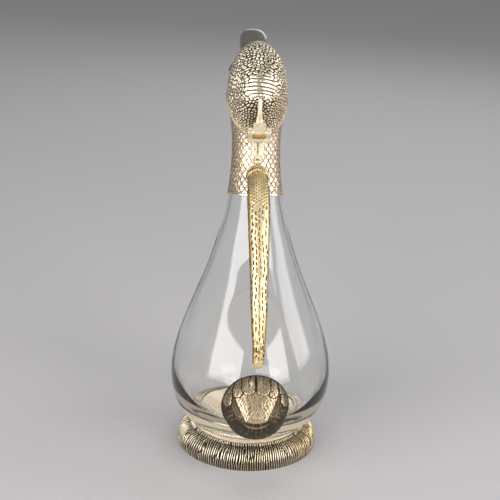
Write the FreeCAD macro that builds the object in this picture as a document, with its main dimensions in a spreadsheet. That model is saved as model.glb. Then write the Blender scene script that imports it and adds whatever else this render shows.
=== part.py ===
import FreeCAD, Part
import math
import os

# Duck-shaped claret jug: a blown glass body in a cast silver-plated base ring,
# with a cast neck mount, a hinged duck's-head lid, a bill spout, a handle and a
# tail cap. Millimetres. +Z up, +Y towards the bill, -Y towards the tail,
# origin on the resting plane at the middle of the base ring.

V = FreeCAD.Vector
ROT = FreeCAD.Rotation
PL = FreeCAD.Placement
XAX = V(1, 0, 0)

doc = FreeCAD.newDocument("duck_claret_jug")
sheet = doc.addObject("Spreadsheet::Sheet", "Dims")
rows = [0]
vals = {}


def cell(alias, value, note=""):
    rows[0] += 1
    r = rows[0]
    sheet.set("A%d" % r, note or alias.replace("_", " "))
    sheet.set("B%d" % r, "%.6g" % value)
    sheet.setAlias("B%d" % r, alias)
    vals[alias] = float("%.6g" % value)
    return "Dims." + alias


def bind(obj, prop, alias, extra=""):
    obj.setExpression(prop, "Dims." + alias + extra)


# ---------------------------------------------------------------- dimensions
cell("neck_y", 9.8, "neck mount foot, y")
cell("neck_z", 190.6, "neck mount foot, z")
cell("neck_lean", 13.5, "forward lean of the neck axis, degrees")
cell("head_y", 25.0, "skull centre, y")
cell("head_z", 261.0, "skull centre, z")
cell("head_half_width", 21.6, "skull half width")
cell("head_half_long", 36.0, "skull half length, long axis")
cell("head_half_short", 28.6, "skull half length, short axis")
cell("head_tilt", 20.0, "skull long axis, degrees forward of vertical")
cell("shell_wall", 1.8, "cast shell wall")
cell("seam_gap", 0.3, "gap between lid and neck rim")
cell("lip_drop", 2.0, "height of the polished neck lip")
cell("lip_proud", 0.7, "how far the lip stands out")
cell("pin_y", -5.6, "hinge pin axis, y")
cell("pin_z", 239.2, "hinge pin axis, z")
cell("pin_radius", 1.5, "hinge pin radius")
cell("pin_length", 16.4, "hinge pin length")
cell("pin_clearance", 0.05, "radial clearance in the lid knuckle")
cell("knuckle_radius", 4.1, "hinge knuckle radius")
cell("knuckle_width", 8.7, "lid knuckle width")
cell("ear_width", 3.4, "neck knuckle width, each")
cell("ear_gap", 0.25, "side gap between knuckles")
cell("eye_radius", 3.1, "eye bead radius")
cell("plate_radius", 49.4, "base plate radius")
cell("plate_thickness", 1.2, "base plate thickness")
cell("tool_size", 400.0, "cutting tool size")

NECK0 = V(0, vals["neck_y"], vals["neck_z"])
LEAN = vals["neck_lean"]
NECK_ROT = ROT(XAX, -LEAN)
NECK_AX = NECK_ROT.multVec(V(0, 0, 1))


def neck_point(s):
    return NECK0 + NECK_AX * s


# ------------------------------------------------------------------- helpers
def ellipse_y(name, z, a, b, y, tilt=0.0):
    # cross-section with half width a along X and half depth b along Y
    e = doc.addObject("Part::Ellipse", name)
    ca = cell(name + "_half_x", min(a, b))
    cb = cell(name + "_half_y", b)
    cy = cell(name + "_y", y)
    cz = cell(name + "_z", z)
    e.MajorRadius = b
    e.MinorRadius = min(a, b)
    e.Placement = PL(V(0, y, z), ROT(XAX, -tilt) * ROT(V(0, 0, 1), 90))
    bind(e, "MajorRadius", name + "_half_y")
    bind(e, "MinorRadius", name + "_half_x")
    bind(e, "Placement.Base.y", name + "_y")
    bind(e, "Placement.Base.z", name + "_z")
    return e


def ellipse_x(name, y, z, half_w, half_t, phi):
    # cross-section with half width along X, the wider way, turned phi about X
    e = doc.addObject("Part::Ellipse", name)
    half_t = min(half_t, half_w)
    cell(name + "_half_w", half_w)
    cell(name + "_half_t", half_t)
    cell(name + "_y", y)
    cell(name + "_z", z)
    e.MajorRadius = half_w
    e.MinorRadius = half_t
    e.Placement = PL(V(0, y, z), ROT(XAX, phi))
    bind(e, "MajorRadius", name + "_half_w")
    bind(e, "MinorRadius", name + "_half_t")
    bind(e, "Placement.Base.y", name + "_y")
    bind(e, "Placement.Base.z", name + "_z")
    return e


def loft(name, sections):
    o = doc.addObject("Part::Loft", name)
    o.Sections = sections
    o.Solid = True
    o.Ruled = False
    return o


def cut(name, base, tool):
    o = doc.addObject("Part::Cut", name)
    o.Base = base
    o.Tool = tool
    return o


def fuse(name, items):
    o = doc.addObject("Part::MultiFuse", name)
    o.Shapes = items
    return o


def common(name, items):
    o = doc.addObject("Part::MultiCommon", name)
    o.Shapes = items
    return o


def plane_of(body, role):
    for f in body.Origin.OriginFeatures:
        if f.Role == role:
            return f
    raise RuntimeError(role)


def revolve(name, points, placement=None):
    # closed profile of (radius, height) points turned once round the body's Z
    body = doc.addObject("PartDesign::Body", name)
    sk = body.newObject("Sketcher::SketchObject", name + "_profile")
    sk.AttachmentSupport = [(plane_of(body, "XZ_Plane"), "")]
    sk.MapMode = "FlatFace"
    n = len(points)
    for i in range(n):
        a = points[i]
        b = points[(i + 1) % n]
        sk.addGeometry(Part.LineSegment(V(a[0], a[1], 0), V(b[0], b[1], 0)), False)
    for i in range(n):
        sk.addConstraint(Sketcher.Constraint("Coincident", i, 2, (i + 1) % n, 1))
    for i, (r, h) in enumerate(points):
        for axis, kind, val in (("r", "DistanceX", r), ("h", "DistanceY", h)):
            alias = "%s_%s_%s" % (name, axis, chr(97 + i // 26) + chr(97 + i % 26))
            cell(alias, val)
            k = sk.addConstraint(Sketcher.Constraint(kind, -1, 1, i, 1, vals[alias]))
            if abs(vals[alias]) > 1e-9:
                sk.setExpression("Constraints[%d]" % k, "Dims." + alias)
    rev = body.newObject("PartDesign::Revolution", name + "_turned")
    rev.Profile = sk
    rev.ReferenceAxis = (sk, ["V_Axis"])
    rev.Angle = 360.0
    body.Tip = rev
    if placement is not None:
        body.Placement = placement
    return body


import Sketcher

# --------------------------------------------------------------- glass body
# (height, half width, half depth, centre y, tilt): wide low bulb that leans
# back to the tail and draws up into a neck that leans forward.
OUTER = [
    (5.0, 19.0, 20.0, 2.0, 0),
    (6.4, 25.5, 26.5, 2.0, 0),
    (10.5, 32.0, 33.0, 1.6, 0),
    (17.0, 38.3, 39.6, 0.6, 0),
    (25.0, 45.8, 48.8, -2.6, 0),
    (35.0, 52.2, 55.8, -6.0, 0),
    (48.0, 56.3, 60.2, -9.6, 0),
    (62.0, 57.8, 61.8, -12.0, 0),
    (76.0, 56.6, 60.0, -12.6, 0),
    (92.0, 52.4, 55.2, -11.2, 0),
    (108.0, 46.4, 48.4, -8.2, 0),
    (126.0, 38.8, 40.0, -4.0, 0),
    (144.0, 31.6, 32.2, 0.0, 0),
    (160.0, 26.4, 26.6, 3.2, 0),
]
NECK_OUT = [(-17.0, 22.0), (-8.0, 20.1), (-1.0, 18.8), (4.0, 17.5), (10.0, 15.9), (18.0, 15.0), (26.0, 15.0)]
# hollow of the flask: its floor is thick, the sides thin out upwards
HOLLOW = [
    (21.5, 14.0, 14.4, 0.6), (23.2, 25.5, 26.6, 0.0), (27.5, 35.5, 37.6, -2.0), (35.0, 44.4, 47.4, -5.0),
    (48.0, 51.4, 55.0, -9.2), (62.0, 54.6, 58.4, -11.8), (76.0, 53.9, 57.3, -12.6), (92.0, 49.9, 52.7, -11.2),
    (108.0, 43.9, 45.9, -8.2), (126.0, 36.3, 37.5, -4.0), (144.0, 29.1, 29.7, 0.0), (160.0, 24.0, 24.2, 3.2),
]


def glass_sections(tag, inner):
    out = []
    rows = HOLLOW if inner else [r[:4] for r in OUTER]
    for i, (z, a, b, y) in enumerate(rows):
        out.append(ellipse_y("%s_sec_%s" % (tag, chr(97 + i)), z, a, b, y, 0))
    for j, (s, r) in enumerate(NECK_OUT):
        if inner:
            r -= 2.3
            if j == len(NECK_OUT) - 1:
                s += 1.0
        p = neck_point(s)
        tilt = LEAN if j > 0 else LEAN - 2.5
        out.append(ellipse_y("%s_neck_%s" % (tag, chr(97 + j)), p.z, r, r, p.y, tilt))
    return out


glass_outer = loft("glass_outer", glass_sections("glass", False))
glass_inner = loft("glass_inner", glass_sections("hollow", True))
glass_body = cut("glass_body", glass_outer, glass_inner)

# ---------------------------------------------------------------- base ring
# hollow casting: foot, upright side, rounded shoulder, shallow valley and a
# raised inner lip, open underneath where the base plate closes it.
RING = [
    (49.9, 0.0), (51.6, 0.0), (52.0, 0.5), (52.0, 2.2), (51.7, 4.5), (51.3, 6.8),
    (50.4, 9.0), (49.0, 11.2), (47.4, 12.9), (45.6, 14.0), (43.8, 14.7), (42.6, 15.3),
    (41.7, 16.4), (40.7, 17.0), (39.9, 16.9), (39.5, 16.2), (39.0, 13.5), (38.4, 8.0),
    (38.2, 1.3), (40.2, 1.3), (40.4, 8.0), (41.4, 13.2), (43.4, 12.7), (45.4, 11.9),
    (47.0, 10.6), (48.4, 8.6), (49.3, 6.4), (49.8, 4.0), (49.9, 2.0),
]
base_ring = revolve("base_ring", RING)

base_plate = doc.addObject("Part::Cylinder", "base_plate")
bind(base_plate, "Radius", "plate_radius")
bind(base_plate, "Height", "plate_thickness")

cement_form = revolve("cement_form", [(0.0, 1.3), (38.0, 1.3), (38.2, 8.0), (38.7, 13.4), (39.0, 15.4), (0.0, 15.4)])
base_cement = cut("base_cement", cement_form, glass_outer)

# --------------------------------------------------------------- neck mount
NECK_SKIN = [(0.0, 0.0), (19.7, 0.0), (19.6, 1.6), (19.2, 5.0), (18.6, 10.0), (18.1, 15.0),
             (17.7, 20.0), (17.4, 26.0), (17.3, 33.0), (17.5, 40.0), (18.1, 47.0), (19.0, 54.0), (19.6, 60.0), (0.0, 60.0)]
NECK_BORE = [(0.0, -1.0), (19.1, -1.0), (19.0, 0.0), (17.9, 4.0), (16.8, 9.0), (16.2, 14.0),
             (15.9, 20.0), (15.6, 26.5), (15.5, 33.0), (15.7, 40.0), (16.2, 47.0), (17.0, 54.0), (17.4, 60.0), (0.0, 60.0)]
NP = PL(NECK0, NECK_ROT)
neck_skin = revolve("neck_skin", NECK_SKIN, NP)
neck_bore = revolve("neck_bore", NECK_BORE, NP)


def skull(name, shrink):
    # ellipsoid of the duck's head, its long axis leaning forward
    e = doc.addObject("Part::Ellipsoid", name)
    e.Radius1 = vals["head_half_long"] - shrink
    e.Radius2 = vals["head_half_width"] - shrink
    e.Radius3 = vals["head_half_short"] - shrink
    e.Angle1 = -90
    e.Angle2 = 90
    e.Angle3 = 360
    sh = " - %.4g mm" % shrink if shrink >= 0 else " + %.4g mm" % (-shrink)
    e.setExpression("Radius1", "Dims.head_half_long * 1 mm" + sh)
    e.setExpression("Radius2", "Dims.head_half_width * 1 mm" + sh)
    e.setExpression("Radius3", "Dims.head_half_short * 1 mm" + sh)
    e.Placement = PL(V(0, vals["head_y"], vals["head_z"]), ROT(XAX, -vals["head_tilt"]))
    return e


skull_outer = skull("skull_outer", 0.0)
skull_inner = skull("skull_inner", vals["shell_wall"])

# seam between lid and neck: steep from the hinge round the cheeks, flatter
# along the mouth line of the bill
SEAM = [(-30, 236.6), (-14, 236.6), (-2, 236.6), (3.5, 237.2), (8, 240.0), (14, 246.4), (20, 251.9),
        (28, 257.8), (38, 262.8), (50, 268.2), (70, 279.6), (92, 292.4), (116, 306.5)]


def seam_tool(name, offset):
    # everything above the seam, moved by offset along Z
    body = doc.addObject("PartDesign::Body", name)
    sk = body.newObject("Sketcher::SketchObject", name + "_profile")
    sk.AttachmentSupport = [(plane_of(body, "YZ_Plane"), "")]
    sk.MapMode = "FlatFace"
    pts = [V(y, z + offset, 0) for y, z in SEAM]
    crv = Part.BSplineCurve()
    crv.interpolate(pts)
    sk.addGeometry(crv, False)
    corners = [pts[-1], V(116, 420, 0), V(-30, 420, 0), pts[0]]
    for a, b in zip(corners[:-1], corners[1:]):
        sk.addGeometry(Part.LineSegment(a, b), False)
    sk.addConstraint(Sketcher.Constraint("Coincident", 0, 2, 1, 1))
    sk.addConstraint(Sketcher.Constraint("Coincident", 1, 2, 2, 1))
    sk.addConstraint(Sketcher.Constraint("Coincident", 2, 2, 3, 1))
    sk.addConstraint(Sketcher.Constraint("Coincident", 3, 2, 0, 1))
    pad = body.newObject("PartDesign::Pad", name + "_pad")
    pad.Profile = sk
    pad.Length = vals["tool_size"]
    pad.Midplane = True
    bind(pad, "Length", "tool_size", " * 1 mm")
    body.Tip = pad
    return body


gap = vals["seam_gap"]
above_lid = seam_tool("above_lid", gap / 2)
above_lip = seam_tool("above_lip", -gap / 2)
above_neck = seam_tool("above_neck", -gap / 2 - vals["lip_drop"])

# -------------------------------------------------------------------- bill
# lofts of flattened sections along the mouth line, which rises at BILL_RISE
BILL_RISE = 30.2
bd = V(0, math.cos(math.radians(BILL_RISE)), math.sin(math.radians(BILL_RISE)))
BILL0 = V(0, 50.0, 268.2)


def bill_sections(tag, data, shrink=0.0):
    out = []
    for i, (t, w, hh) in enumerate(data):
        p = BILL0 + bd * t
        out.append(ellipse_x("%s_sec_%s" % (tag, chr(97 + i)), p.y, p.z, w - shrink, max(hh - shrink, 0.6),
                             -90.0 + BILL_RISE))
    return out


UPPER = [(-16, 17.0, 16.4), (-8, 15.6, 15.0), (0, 13.6, 12.6), (8, 11.8, 9.8), (18, 10.5, 6.6), (28, 10.3, 4.8), (38, 10.5, 3.8),
         (44, 9.3, 3.0), (47.6, 7.4, 2.3), (49.2, 4.6, 1.5)]
LOWER = [(-22, 17.0, 17.0), (-10, 15.0, 14.6), (0, 12.4, 11.4), (10, 10.6, 8.2), (22, 9.4, 5.8), (34, 9.0, 4.4), (41, 8.2, 3.6),
         (45.4, 5.8, 2.6), (46.8, 3.4, 1.8)]
upper_form = loft("upper_form", bill_sections("bill_up", UPPER))
upper_core = loft("upper_core", bill_sections("bill_up_core", [u for u in UPPER if u[0] < 40], 1.4))
lower_form = loft("lower_form", bill_sections("bill_low", LOWER))
lower_core = loft("lower_core", bill_sections("bill_low_core", [u for u in LOWER if -12 < u[0] < 44], 1.3))

# ------------------------------------------------- neck, lip, lid and spout
neck_solid = fuse("neck_solid", [neck_skin, skull_outer])
throat = fuse("throat", [neck_bore, skull_inner, lower_core])

neck_shell = cut("neck_shell", neck_solid, throat)

lip_form_neck = revolve("lip_form_neck", [(0.0, 20.0)] + [(r + vals["lip_proud"], h) for r, h in NECK_SKIN[6:-1]] + [(0.0, 60.0)], NP)
lip_form_skull = skull("lip_form_skull", -vals["lip_proud"])
lip_form = fuse("lip_form", [lip_form_neck, lip_form_skull])
lip_low = common("lip_low", [lip_form, above_neck])
lip_band = cut("lip_band", lip_low, above_lip)
neck_lip = cut("neck_lip", lip_band, throat)

# bead round the foot of the neck mount
bead_form = revolve("bead_form", [(19.3, -0.8), (20.0, -0.8), (20.4, -0.4), (20.4, 0.3), (20.0, 0.8), (19.65, 0.8), (19.7, 0.0), (19.3, 0.0)], NP)
neck_bead = bead_form

neck_cement_form = revolve("neck_cement_form", [(0.0, 0.6), (18.8, 0.6), (17.8, 4.2), (16.7, 9.2), (16.1, 14.2), (15.8, 20.0), (15.65, 25.0), (0.0, 25.0)], NP)
neck_cement_cut = cut("neck_cement_cut", neck_cement_form, glass_outer)
neck_cement = cut("neck_cement", neck_cement_cut, glass_inner)

neck_cut_a = cut("neck_cut_a", neck_shell, above_neck)
neck_mount = neck_cut_a

spout_a = cut("spout_a", lower_form, above_lip)
spout_b = cut("spout_b", spout_a, neck_solid)
spout_c = cut("spout_c", spout_b, lip_form)
lower_bill = cut("lower_bill", spout_c, lower_core)

lid_solid = common("lid_solid", [neck_solid, above_lid])
lid_room = fuse("lid_room", [neck_bore, skull_inner, upper_core])
head_lid = cut("head_lid", lid_solid, lid_room)

upper_a = common("upper_a", [upper_form, above_lid])
upper_b = cut("upper_b", upper_a, neck_solid)
upper_bill = cut("upper_bill", upper_b, upper_core)

# ------------------------------------------------------------------- eyes
eyes = []
for side, sx in (("left", -1), ("right", 1)):
    e = doc.addObject("Part::Ellipsoid", side + "_eye_form")
    e.Radius1 = vals["eye_radius"]
    e.Radius2 = 1.7
    e.Radius3 = vals["eye_radius"]
    e.Angle1 = -90
    e.Angle2 = 90
    e.Angle3 = 360
    e.setExpression("Radius1", "Dims.eye_radius * 1 mm")
    e.setExpression("Radius3", "Dims.eye_radius * 1 mm")
    e.Placement = PL(V(sx * 18.0, 38.0, 275.0), ROT(V(0, 1, 0), -sx * 22) * ROT(V(0, 0, 1), sx * 24))
    c = cut(side + "_eye", e, skull_outer)
    eyes.append(c)
left_eye, right_eye = eyes

# ------------------------------------------------------------------ hinge
PIN = V(0, vals["pin_y"], vals["pin_z"])


def along_x(name, radius_expr, length, x0):
    c = doc.addObject("Part::Cylinder", name)
    c.Placement = PL(V(x0, PIN.y, PIN.z), ROT(V(0, 1, 0), 90))
    c.Height = length
    c.setExpression("Radius", radius_expr)
    bind(c, "Placement.Base.y", "pin_y")
    bind(c, "Placement.Base.z", "pin_z")
    return c


hinge_pin = along_x("hinge_pin", "Dims.pin_radius * 1 mm", vals["pin_length"], -vals["pin_length"] / 2)
bind(hinge_pin, "Height", "pin_length")

kw = vals["knuckle_width"]
lid_knuckle = along_x("lid_knuckle", "Dims.knuckle_radius * 1 mm", kw, -kw / 2)
lid_hole = along_x("lid_hole", "(Dims.pin_radius + Dims.pin_clearance) * 1 mm", 30.0, -15.0)


def bar(name, x0, x1, y0, y1, z0, z1, tilt=0.0, pivot=None):
    b = doc.addObject("Part::Box", name)
    for a, v in (("Length", x1 - x0), ("Width", y1 - y0), ("Height", z1 - z0)):
        al = cell("%s_%s" % (name, a.lower()), v)
        setattr(b, a, v)
        b.setExpression(a, al)
    b.Placement = PL(V(x0, y0, z0), ROT())
    if tilt:
        p = pivot or V((x0 + x1) / 2, (y0 + y1) / 2, (z0 + z1) / 2)
        rot = ROT(XAX, tilt)
        b.Placement = PL(rot.multVec(V(x0, y0, z0) - p) + p, rot)
    return b


# block over the lid knuckle and the tapered tongue up the back of the lid
knuckle_block = bar("knuckle_block", -kw / 2, kw / 2, PIN.y - 3.6, PIN.y + 7.0, PIN.z + 0.6, PIN.z + 7.6)
def skull_back(z, grow=0.0):
    # y of the back of the skull at height z, on the middle plane
    k = math.radians(vals["head_tilt"])
    a, b = vals["head_half_long"] + grow, vals["head_half_short"] + grow
    dz = z - vals["head_z"]
    qa = (math.sin(k) / a) ** 2 + (math.cos(k) / b) ** 2
    qb = 2 * dz * math.sin(k) * math.cos(k) * (1 / a ** 2 - 1 / b ** 2)
    qc = (dz * math.cos(k) / a) ** 2 + (dz * math.sin(k) / b) ** 2 - 1
    return vals["head_y"] + (-qb - math.sqrt(qb * qb - 4 * qa * qc)) / (2 * qa)


tongue_secs = []
for i, (z, w, t) in enumerate([(240.5, 3.9, 2.4), (244.5, 3.4, 1.9), (248.0, 2.6, 1.6), (252.0, 2.0, 1.5), (256.0, 1.6, 1.4), (259.0, 1.5, 1.35), (261.6, 1.4, 1.1), (262.6, 1.0, 0.8)]):
    tongue_secs.append(ellipse_x("tongue_sec_%s" % chr(97 + i), skull_back(z) - 0.35, z, w, t, -2.0))
tongue = loft("tongue", tongue_secs)
lid_leaf_form = fuse("lid_leaf_form", [lid_knuckle, knuckle_block, tongue])
lid_leaf_a = cut("lid_leaf_a", lid_leaf_form, neck_solid)
hinge_tongue = cut("hinge_tongue", lid_leaf_a, lid_hole)

# neck leaf: strap down the back of the neck with a knuckle on each side
ew = vals["ear_width"]
eg = vals["ear_gap"]
ears = []
for side, x0 in (("left", -kw / 2 - eg - ew), ("right", kw / 2 + eg)):
    c = along_x("%s_knuckle" % side, "Dims.knuckle_radius * 1 mm", ew, x0)
    w = bar("%s_web" % side, x0, x0 + ew, PIN.y - 1.5, PIN.y + 16.0, PIN.z - 7.0, PIN.z - 0.8)
    ears += [c, w]
strap_skin = revolve("strap_skin", [(0.0, 18.0)] + [(r + 1.0, h) for r, h in NECK_SKIN[5:-3]] + [(0.0, 50.0)], NP)
strap_zone = bar("strap_zone", -4.9, 4.9, -30.0, 12.0, 219.4, 234.0)
strap = common("strap", [strap_skin, strap_zone])
neck_leaf_form = fuse("neck_leaf_form", ears + [strap])
bridge_zone = bar("bridge_zone", -kw / 2 - eg - 1.2, kw / 2 + eg + 1.2, PIN.y + 0.5, PIN.y + 14.0, PIN.z - 7.0, PIN.z - 4.4)
neck_leaf_b = fuse("neck_leaf_b", [neck_leaf_form, bridge_zone])
neck_leaf_c = cut("neck_leaf_c", neck_leaf_b, lip_form)
neck_leaf_d = cut("neck_leaf_d", neck_leaf_c, neck_solid)
pin_bore = along_x("pin_bore", "Dims.pin_radius * 1 mm", 30.0, -15.0)
lid_sweep = along_x("lid_sweep", "(Dims.knuckle_radius + 0.5) * 1 mm", kw + 2 * eg, -kw / 2 - eg)
seam_slot = bar("seam_slot", -0.3, 0.3, -20.0, 20.0, 222.5, 230.5)
neck_leaf_e = cut("neck_leaf_e", neck_leaf_d, pin_bore)
neck_leaf_f = cut("neck_leaf_f", neck_leaf_e, lid_sweep)
hinge_strap = cut("hinge_strap", neck_leaf_f, seam_slot)

# small oval rivet head under the strap
rivet = doc.addObject("Part::Ellipsoid", "rivet_form")
rivet.Radius1 = 1.5
rivet.Radius2 = 2.6
rivet.Radius3 = 1.6
rivet.Angle1 = -90
rivet.Angle2 = 90
rivet.Angle3 = 360
rivet.Placement = PL(V(0, -1.85, 217.35), ROT(XAX, -LEAN))
strap_rivet = cut("strap_rivet", rivet, neck_solid)

# ----------------------------------------------------------------- handle
# (y, z, half width, half thickness) from the free lower end to the root
HANDLE = [
    (-80.2, 95.0, 2.2, 1.6),
    (-80.1, 95.5, 3.2, 2.6),
    (-80.0, 96.5, 3.7, 3.2),
    (-79.8, 98.5, 3.9, 3.6),
    (-78.2, 106.5, 4.3, 3.9),
    (-73.6, 119.5, 5.0, 4.2),
    (-66.0, 135.5, 5.9, 4.6),
    (-57.0, 151.5, 6.3, 4.9),
    (-47.5, 166.8, 6.9, 5.2),
    (-38.0, 181.0, 7.5, 5.5),
    (-29.0, 192.4, 7.9, 5.8),
    (-21.4, 200.2, 7.8, 5.8),
    (-13.6, 205.0, 7.3, 5.9),
    (-4.6, 207.4, 6.9, 6.0),
    (6.0, 208.6, 6.8, 6.1),
]
hs = []
for i, (y, z, w, t) in enumerate(HANDLE):
    a = HANDLE[max(i - 1, 0)]
    b = HANDLE[min(i + 1, len(HANDLE) - 1)]
    if i < 3:
        a, b = HANDLE[2], HANDLE[4]
    ty, tz = b[0] - a[0], b[1] - a[1]
    phi = math.degrees(math.atan2(-ty, tz))
    hs.append(ellipse_x("handle_sec_%s" % chr(97 + i), y, z, w, t, phi))
handle_form = loft("handle_form", hs)

# socket: arched boss on the back of the neck that takes the handle's root
socket_secs = []
for i, (y, z, w, t) in enumerate([(8.0, 209.6, 8.6, 7.8), (-4.0, 208.0, 8.2, 7.5), (-7.4, 207.5, 7.9, 7.1), (-8.6, 207.2, 7.3, 6.6)]):
    socket_secs.append(ellipse_x("socket_sec_%s" % chr(97 + i), y, z, w, t, -76.0))
socket_form = loft("socket_form", socket_secs)
socket_a = cut("socket_a", socket_form, neck_solid)
handle_socket = cut("handle_socket", socket_a, handle_form)
handle = cut("handle", handle_form, neck_solid)

# --------------------------------------------------------------- tail cap
# oval cup over the back of the bulb that narrows to a broad upturned tip
TAIL = [
    (-56.0, 61.9, 23.6, 24.9), (-62.0, 61.9, 23.8, 25.1), (-68.0, 61.7, 23.6, 24.9), (-74.0, 60.9, 22.7, 23.3),
    (-80.0, 59.7, 20.8, 19.7), (-85.0, 58.8, 17.6, 15.0), (-89.0, 58.8, 14.0, 9.8), (-91.6, 59.2, 11.4, 5.6), (-92.8, 59.6, 9.6, 3.2),
]


def tail_sections(tag, data, shrink):
    out = []
    for i, (y, z, w, t) in enumerate(data):
        out.append(ellipse_x("%s_sec_%s" % (tag, chr(97 + i)), y, z, w - shrink, t - shrink, 90.0))
    return out


tail_form = loft("tail_form", tail_sections("tail", TAIL, 0.0))
tail_core = loft("tail_core", tail_sections("tail_core", TAIL[:-3], 1.8))
tail_a = cut("tail_a", tail_form, glass_outer)
tail_cap = cut("tail_cap", tail_a, tail_core)
tail_cement = cut("tail_cement", tail_core, glass_outer)

# ------------------------------------------------------------------ output
PARTS = [
    ("glass_body", glass_body), ("base_ring", base_ring), ("base_plate", base_plate), ("base_cement", base_cement),
    ("tail_cap", tail_cap), ("tail_cement", tail_cement),
    ("neck_mount", neck_mount), ("neck_lip", neck_lip), ("neck_bead", neck_bead), ("neck_cement", neck_cement),
    ("lower_bill", lower_bill), ("hinge_strap", hinge_strap), ("hinge_pin", hinge_pin), ("strap_rivet", strap_rivet),
    ("handle_socket", handle_socket), ("handle", handle),
    ("head_lid", head_lid), ("upper_bill", upper_bill), ("left_eye", left_eye), ("right_eye", right_eye), ("hinge_tongue", hinge_tongue),
]
doc.recompute()

bad = [o.Name for o in doc.Objects if ("Invalid" in o.State or "Error" in o.State)]
if bad:
    raise SystemExit("failed objects: " + ", ".join(bad))
os.makedirs("parts", exist_ok=True)
for label, o in PARTS:
    o.Label = label
    s = o.Shape
    if s.isNull() or not s.isValid():
        raise SystemExit("bad shape: " + label)
    if not s.Solids:
        raise SystemExit("no solid: " + label)
for label, o in PARTS:
    s = o.Shape
    bb = s.BoundBox
    print("%-14s solids %d vol %9.1f  x %.1f..%.1f y %.1f..%.1f z %.1f..%.1f" % (
        label, len(s.Solids), s.Volume, bb.XMin, bb.XMax, bb.YMin, bb.YMax, bb.ZMin, bb.ZMax))
    s.exportStep(os.path.join("parts", label + ".step"))
print("glass cavity, litres to the neck: %.3f" % (glass_inner.Shape.Volume / 1e6))
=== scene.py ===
import bpy, bmesh, math
import numpy as np
from mathutils import Vector, Matrix, kdtree, noise


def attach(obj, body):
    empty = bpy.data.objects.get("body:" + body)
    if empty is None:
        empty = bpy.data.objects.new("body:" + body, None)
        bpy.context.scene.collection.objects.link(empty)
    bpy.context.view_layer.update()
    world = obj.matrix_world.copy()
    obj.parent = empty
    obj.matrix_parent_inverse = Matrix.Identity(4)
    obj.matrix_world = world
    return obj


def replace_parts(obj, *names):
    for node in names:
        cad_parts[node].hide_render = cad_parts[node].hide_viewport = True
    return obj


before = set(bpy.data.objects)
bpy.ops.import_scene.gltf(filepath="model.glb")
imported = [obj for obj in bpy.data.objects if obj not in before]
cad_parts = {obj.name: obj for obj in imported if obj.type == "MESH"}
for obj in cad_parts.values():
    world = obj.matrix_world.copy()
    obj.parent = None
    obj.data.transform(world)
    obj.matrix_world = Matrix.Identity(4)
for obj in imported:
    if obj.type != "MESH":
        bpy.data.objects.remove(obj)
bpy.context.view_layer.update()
MM = 0.001
rng = np.random.default_rng(11)

# ---------------------------------------------------------------- camera
R = Vector((0.99738623, -0.06155976, 0.03782989))
U = Vector((-0.01501058, 0.33560811, 0.94188209))
B = Vector((-0.07067806, -0.93998808, 0.33380686))
cam_data = bpy.data.cameras.new("camera")
cam = bpy.data.objects.new("camera", cam_data)
bpy.context.scene.collection.objects.link(cam)
m = Matrix.Identity(4)
for i in range(3):
    m[i][0], m[i][1], m[i][2] = R[i], U[i], B[i]
m.translation = Vector((-66.245, -845.479, 451.092)) * MM
cam.matrix_world = m
cam_data.sensor_width = 36.0
cam_data.lens = 90.0
cam_data.clip_start = 0.01
cam_data.clip_end = 50.0
bpy.context.scene.camera = cam


# --------------------------------------------------------------- helpers
def spline(x, y, q):
    """natural cubic spline through (x, y) evaluated at q"""
    x = np.asarray(x, float); y = np.asarray(y, float); q = np.asarray(q, float)
    n = len(x); h = np.diff(x)
    A = np.zeros((n, n)); b = np.zeros(n)
    A[0, 0] = A[-1, -1] = 1
    for i in range(1, n - 1):
        A[i, i - 1], A[i, i], A[i, i + 1] = h[i - 1], 2 * (h[i - 1] + h[i]), h[i]
        b[i] = 6 * ((y[i + 1] - y[i]) / h[i] - (y[i] - y[i - 1]) / h[i - 1])
    M = np.linalg.solve(A, b)
    k = np.clip(np.searchsorted(x, q) - 1, 0, n - 2)
    t = q - x[k]; hk = h[k]
    return (y[k] + t * ((y[k + 1] - y[k]) / hk - hk * (2 * M[k] + M[k + 1]) / 6)
            + t * t * M[k] / 2 + t ** 3 * (M[k + 1] - M[k]) / (6 * hk))


def smooth(a, b, x):
    t = np.clip((x - a) / (b - a), 0, 1)
    return t * t * (3 - 2 * t)


_perm = np.random.default_rng(5).integers(0, 2 ** 31, 4096)


def _hash(ix, iy, iz, seed):
    h = (ix * 73856093) ^ (iy * 19349663) ^ (iz * 83492791) ^ (seed * 2654435761)
    return _perm[h & 4095] / 2 ** 31


def vnoise(x, y, z=0.0, seed=0):
    """smooth value noise in -1..1 on arrays"""
    x, y, z = np.broadcast_arrays(np.asarray(x, float), np.asarray(y, float), np.asarray(z, float))
    ix, iy, iz = np.floor(x).astype(np.int64), np.floor(y).astype(np.int64), np.floor(z).astype(np.int64)
    fx, fy, fz = x - ix, y - iy, z - iz
    fx, fy, fz = [f * f * f * (f * (f * 6 - 15) + 10) for f in (fx, fy, fz)]
    out = 0
    for dx in (0, 1):
        for dy in (0, 1):
            for dz in (0, 1):
                w = (fx if dx else 1 - fx) * (fy if dy else 1 - fy) * (fz if dz else 1 - fz)
                out = out + w * _hash(ix + dx, iy + dy, iz + dz, seed)
    return out * 2 - 1


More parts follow.
